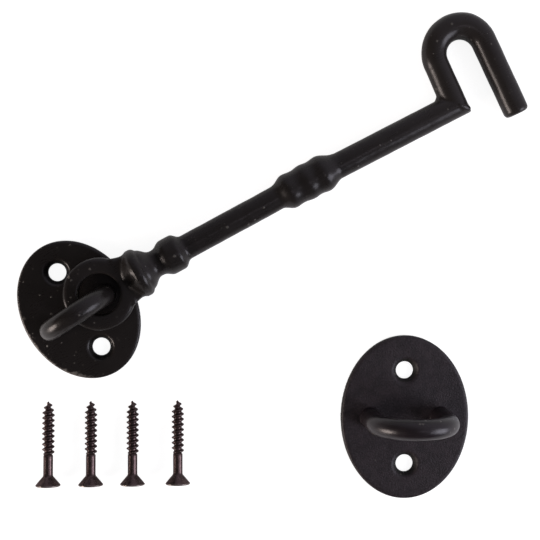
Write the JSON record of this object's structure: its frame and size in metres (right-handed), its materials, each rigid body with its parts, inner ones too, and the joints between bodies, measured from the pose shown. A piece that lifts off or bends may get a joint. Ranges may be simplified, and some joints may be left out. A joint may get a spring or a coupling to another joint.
{
  "type": "hook and eye latch",
  "caption": "Round bar hook with a ring hinged on a stapled oval backplate, a matching oval eye plate, and loose countersunk wood screws.",
  "frame": {"origin": "centre of the hook plate's back face, on the surface that every piece lies on", "axes": "+X towards the hook's mouth, across the hook plate; +Y along the hook plate's long axis; +Z off the surface"},
  "size_m": [0.1843, 0.1219, 0.0261],
  "materials": {
    "hook_enamel": "black enamel on cast and forged steel, satin to semi-gloss, with small pits and chipped edges",
    "eye_powder_coat": "fine-textured black powder coat on steel, satin",
    "screw_bronze": "dark bronze coated steel, metallic sheen"
  },
  "bodies": {
    "hook_plate": {"hook_plate": "hook_enamel", "hook_staple": "hook_enamel"},
    "hook": {"hook": "hook_enamel"},
    "eye": {"eye_plate": "eye_powder_coat", "eye_staple": "eye_powder_coat"},
    "screw_1": {"screw_1": "screw_bronze"},
    "screw_2": {"screw_2": "screw_bronze"},
    "screw_3": {"screw_3": "screw_bronze"},
    "screw_4": {"screw_4": "screw_bronze"}
  },
  "joints": [
    {"name": "hook_swing", "type": "hinge", "parent": "hook_plate", "child": "hook", "pos_m": [0, 0, 0.008], "axis": [0, -1, 0], "range_deg": [0, 180]},
    {"name": "eye_lift", "type": "slide", "parent": "hook_plate", "child": "eye", "axis": [0, 0, 1], "range_m": [0, 0.05]},
    {"name": "screw_1_lift", "type": "slide", "parent": "hook_plate", "child": "screw_1", "axis": [0, 0, 1], "range_m": [0, 0.05]},
    {"name": "screw_2_lift", "type": "slide", "parent": "hook_plate", "child": "screw_2", "axis": [0, 0, 1], "range_m": [0, 0.05]},
    {"name": "screw_3_lift", "type": "slide", "parent": "hook_plate", "child": "screw_3", "axis": [0, 0, 1], "range_m": [0, 0.05]},
    {"name": "screw_4_lift", "type": "slide", "parent": "hook_plate", "child": "screw_4", "axis": [0, 0, 1], "range_m": [0, 0.05]}
  ]
}
